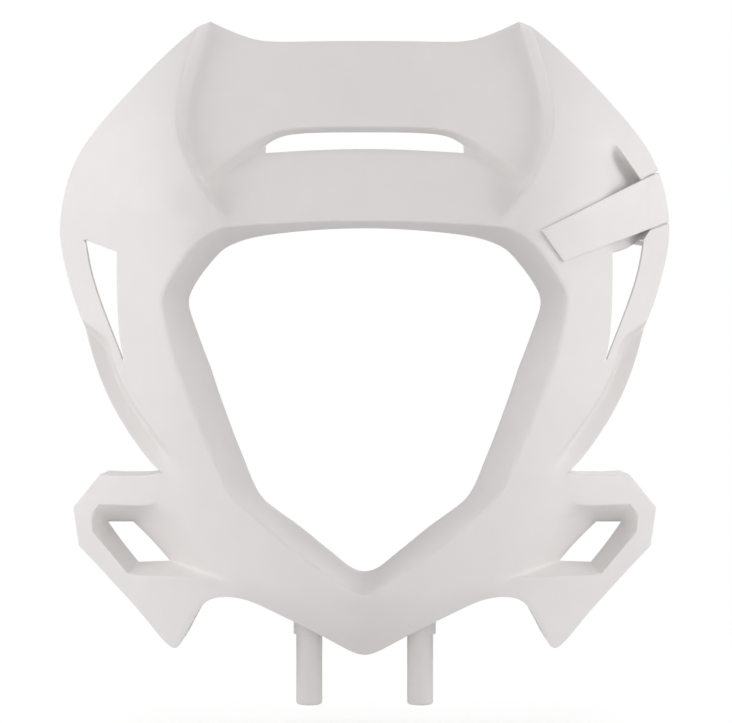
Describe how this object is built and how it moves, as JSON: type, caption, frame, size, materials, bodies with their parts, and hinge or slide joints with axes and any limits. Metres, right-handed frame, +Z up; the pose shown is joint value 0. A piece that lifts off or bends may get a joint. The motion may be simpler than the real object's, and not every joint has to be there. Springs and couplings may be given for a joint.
{
  "type": "motorcycle headlight mask",
  "caption": "White moulded front mask for an off-road motorcycle headlight, with a slot, side vents, open ears, round mounting pegs and a clip-on hose guide.",
  "frame": {"origin": "middle of the two mounting pegs, at the shoulders of their roots", "axes": "+X right as seen from the front, -Y the front, +Z up along the pegs"},
  "size_m": [0.2899, 0.1169, 0.3181],
  "materials": {
    "white_plastic": "matte",
    "guide_plastic": "matte"
  },
  "bodies": {
    "root": {"mask": "white_plastic", "hose_guide": "guide_plastic"}
  },
  "joints": []
}
